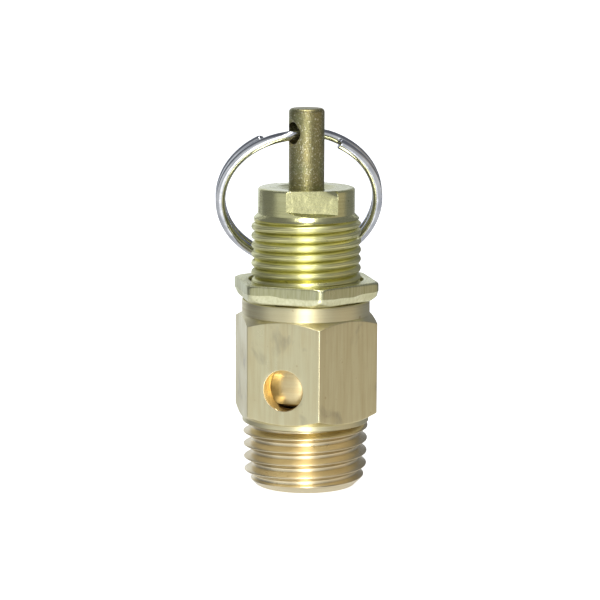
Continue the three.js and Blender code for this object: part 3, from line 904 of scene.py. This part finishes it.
def piston():
    """A cup that holds the seal below, guides in the chamber, and centres the spring on a boss above."""
    material = brass("piston_brass", (0.86, 0.72, 0.42), GOLD_DARK, 0.34, turned_lines, lines=0.4)
    seal_cup = [(1.15, 11.2), (4.4, 11.2), (4.4, 10.05), (4.5, 9.9), (4.5, 9.44), (4.54, 9.4), (5.0, 9.4)]
    skirt = [(5.12, 9.45), (5.3, 9.6), (5.44, 9.72), (5.47, 9.85), (5.47, 11.5), (5.47, 13.9)]
    boss = [(5.4, 14.1), (5.2, 14.2), (2.5, 14.2), (2.5, 15.15), (2.4, 15.25), (1.55, 15.25)]
    bore = [(1.55, 12.6), (1.15, 12.4), (1.15, 11.2)]
    outline = seal_cup + skirt + boss + bore
    lathe("piston_turned", "lift", "turned_brass", "piston", [material], *outline)


def seal_disc():
    """A flat ring of rubber with a broken edge."""
    outline = [(1.15, 9.95), (4.22, 9.95), (4.3, 10.03), (4.3, 11.02), (4.22, 11.1), (1.15, 11.1)]
    lathe("seal_disc_moulded", "lift", "seal_rubber", "seal_disc", [rubber()], *outline, outline[0])


def valve_spring():
    """Round wire on a helix with a nearly closed turn at each end: (r cos t, r sin t, h), h rising evenly
    between the end turns."""
    turns = np.linspace(0, SPRING_TURNS, 9 * 64 + 33)
    low = np.minimum(turns, SPRING_END) / SPRING_END
    high = np.clip((turns - (SPRING_TURNS - SPRING_END)) / SPRING_END, 0, 1)
    height = 14.8 + 1.1 * (low + high) + 10.8 * np.clip((turns - SPRING_END) / 7.7, 0, 1)
    at = turns * 2 * math.pi
    turn = np.radians(np.arange(17) * 22.5)
    points = []
    for factor, a, h in zip(np.r_[0.0, 0.6, np.ones(len(turns) - 4), 0.6, 0.0], at, height):
        reach = SPRING_RADIUS + SPRING_WIRE * factor * np.cos(turn)
        level = h + SPRING_WIRE * factor * np.sin(turn)
        points.append(np.stack([reach * math.cos(a), reach * math.sin(a), level], -1))
    skin = Skin()
    skin.sheet(np.array(points))
    piece = skin.build("valve_spring_coiled", [steel("spring_steel", (0.62, 0.63, 0.65), 0.3)], 50)
    declare(piece, "adjuster_seat", "plain_steel", "valve_spring")
    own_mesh(piece)


def plain_nodes():
    """The small CAD pieces that stay as they are, with their own finishes."""
    retainer = brass("retainer_brass", BRASS_LIGHT, BRASS_DARK, 0.3, turned_lines)
    finishes = {
        "seal_retainer": (retainer, "turned_brass"),
        "seal_screw": (steel("screw_steel", (0.62, 0.63, 0.64), 0.3), "plain_steel"),
        "upper_spring_washer": (steel("washer_steel", (0.6, 0.6, 0.6), 0.35), "plain_steel"),
    }
    for name, (material, slot) in finishes.items():
        node = frame["nodes"][name]
        node.data.materials.clear()
        node.data.materials.append(material)


# ---------- floor, light and camera ----------

AZIMUTH = 19.8
ELEVATION = 9.11
AIM_HEIGHT = 20.295  # what the camera looks at: this high, and this far to its left of the axis
AIM_LEFT = 0.643
CAMERA_DISTANCE = 272.64
CAMERA_ROLL = 0.26
FLOOR_HALF = 6.0
FLOOR_DROP = 0.00002  # metres below the object


def direction(azimuth, elevation):
    """From the object towards azimuth (0 is -Y, 90 is +X) and elevation."""
    a, e = math.radians(azimuth), math.radians(elevation)
    return Vector((math.sin(a) * math.cos(e), -math.cos(a) * math.cos(e), math.sin(e)))


def floor():
    """A plain white floor that lights the object a little but isn't mirrored in it."""
    half = FLOOR_HALF
    corners = [(-half, -half, 0), (half, -half, 0), (half, half, 0), (-half, half, 0)]
    mesh = bpy.data.meshes.new("floor")
    mesh.from_pydata(corners, [], [(0, 1, 2, 3)])
    plane = bpy.data.objects.new("floor", mesh)
    bpy.context.scene.collection.objects.link(plane)
    plane.location.z = -FLOOR_DROP
    plane.visible_glossy = False
    material = bpy.data.materials.new("floor_white")
    material.use_nodes = True
    shader = material.node_tree.nodes["Principled BSDF"]
    shader.inputs["Base Color"].default_value = (0.9, 0.9, 0.9, 1)
    shader.inputs["Roughness"].default_value = 0.9
    shader.inputs["Emission Color"].default_value = (1, 1, 1, 1)
    shader.inputs["Emission Strength"].default_value = 0.8
    mesh.materials.append(material)


BASE_LIGHT = (0.20, 0.21, 0.23)
# each lobe: azimuth from the camera, elevation, the cosines where it fades out and where it is full, colour
LOBES = (
    (0, -90, 0.12, 0.55, (0.62, 0.62, 0.60)),
    (-42, -9, 0.70, 0.96, (0.42, 0.43, 0.42)),
    (15, -9, 0.80, 0.97, (0.40, 0.40, 0.38)),
    (76, -9, 0.80, 0.97, (0.24, 0.19, 0.11)),
    (-160, 6, 0.80, 0.97, (0.66, 0.70, 0.75)),
    (0, 88, 0.10, 0.90, (-0.12, -0.12, -0.11)),
)
# the upright strip beside the camera: sideways cosines where it fades out and where it is full, and colour
FRONT_STRIP = (0.19, 0.06, (4.4, 4.4, 4.3))
# where the strip ends above and below: its middle's elevation, the cosines where it fades out and is full
STRIP_LENGTH = (-8, 0.42, 0.8)


def world():
    """A studio of soft lobes of light round the object, and white where the camera looks past it."""
    made = bpy.data.worlds.new("studio")
    made.use_nodes = True
    bpy.context.scene.world = made
    tree = made.node_tree
    tree.nodes.clear()

    def linked(kind, links, settings=()):
        node = tree.nodes.new(kind)
        for key, value in dict(settings).items():
            setattr(node, key, value)
        for key, value in links.items():
            if isinstance(value, bpy.types.NodeSocket):
                tree.links.new(value, node.inputs[key])
            else:
                node.inputs[key].default_value = value
        return node

    place = linked("ShaderNodeTexCoord", {}).outputs["Generated"]

    def along(axis):
        dot = linked("ShaderNodeVectorMath", {0: place, 1: axis}, {"operation": "DOT_PRODUCT"})
        return dot.outputs["Value"]

    def rise(value, start, end):
        links = {"Value": value, "From Min": start, "From Max": end}
        settings = {"interpolation_type": "SMOOTHSTEP"}
        return linked("ShaderNodeMapRange", links, settings).outputs["Result"]

    def calculate(operation, links):
        return linked("ShaderNodeMath", links, {"operation": operation}).outputs[0]

    def add(total, share, colour):
        links = {0: share, MIX_A: total, MIX_B: (*colour, 1)}
        settings = {"data_type": "RGBA", "blend_type": "ADD"}
        return linked("ShaderNodeMix", links, settings).outputs[MIX_COLOUR]

    total = (*BASE_LIGHT, 1)
    for azimuth, elevation, fade, full, colour in LOBES:
        towards = direction(AZIMUTH + azimuth, elevation)
        total = add(total, rise(along(towards), fade, full), colour)
    fade, full, colour = FRONT_STRIP
    elevation, end_fade, end_full = STRIP_LENGTH
    sideways = calculate("ABSOLUTE", {0: along(direction(AZIMUTH + 90, 0))})
    forward = rise(along(direction(AZIMUTH, elevation)), end_fade, end_full)
    share = calculate("MULTIPLY", {0: rise(sideways, fade, full), 1: forward})
    total = add(total, share, colour)
    camera_ray = linked("ShaderNodeLightPath", {}).outputs["Is Camera Ray"]
    links = {0: camera_ray, MIX_A: total, MIX_B: (1, 1, 1, 1)}
    seen = linked("ShaderNodeMix", links, {"data_type": "RGBA"}).outputs[MIX_COLOUR]
    back = linked("ShaderNodeBackground", {"Color": seen}).outputs[0]
    linked("ShaderNodeOutputWorld", {0: back})


def softbox(name, azimuth, elevation, distance, size, energy):
    """A soft rectangular light that faces the object."""
    light = bpy.data.lights.new(name, "AREA")
    light.shape = "RECTANGLE"
    light.size, light.size_y = size
    light.energy = energy
    lamp = bpy.data.objects.new(name, light)
    bpy.context.scene.collection.objects.link(lamp)
    towards = direction(AZIMUTH + azimuth, elevation)
    lamp.location = Vector((0, 0, 0.02)) + towards * distance
    lamp.rotation_mode = "QUATERNION"
    lamp.rotation_quaternion = towards.to_track_quat("Z", "Y")


def camera():
    """The camera that the scene is seen through."""
    data = bpy.data.cameras.new("camera")
    data.sensor_width = 36
    data.lens = 150
    data.clip_start, data.clip_end = 0.01, 100
    eye = bpy.data.objects.new("camera", data)
    bpy.context.scene.collection.objects.link(eye)
    back = direction(AZIMUTH, ELEVATION)
    right = Vector((math.cos(math.radians(AZIMUTH)), math.sin(math.radians(AZIMUTH)), 0))
    aim = Vector((0, 0, AIM_HEIGHT * MM)) - right * AIM_LEFT * MM
    eye.location = aim + back * CAMERA_DISTANCE * MM
    roll = Euler((0, 0, math.radians(CAMERA_ROLL))).to_quaternion()
    eye.rotation_mode = "QUATERNION"
    eye.rotation_quaternion = (-back).to_track_quat("-Z", "Y") @ roll
    bpy.context.scene.camera = eye


valve_body()
adjusting_screw()
lock_nut()
lift_stem()
split_ring()
piston()
seal_disc()
valve_spring()
plain_nodes()

floor()
world()
softbox("overhead_strip", 0, 84, 0.45, (0.12, 0.25), 1.2)
camera()
bpy.context.scene.view_settings.view_transform = "Standard"
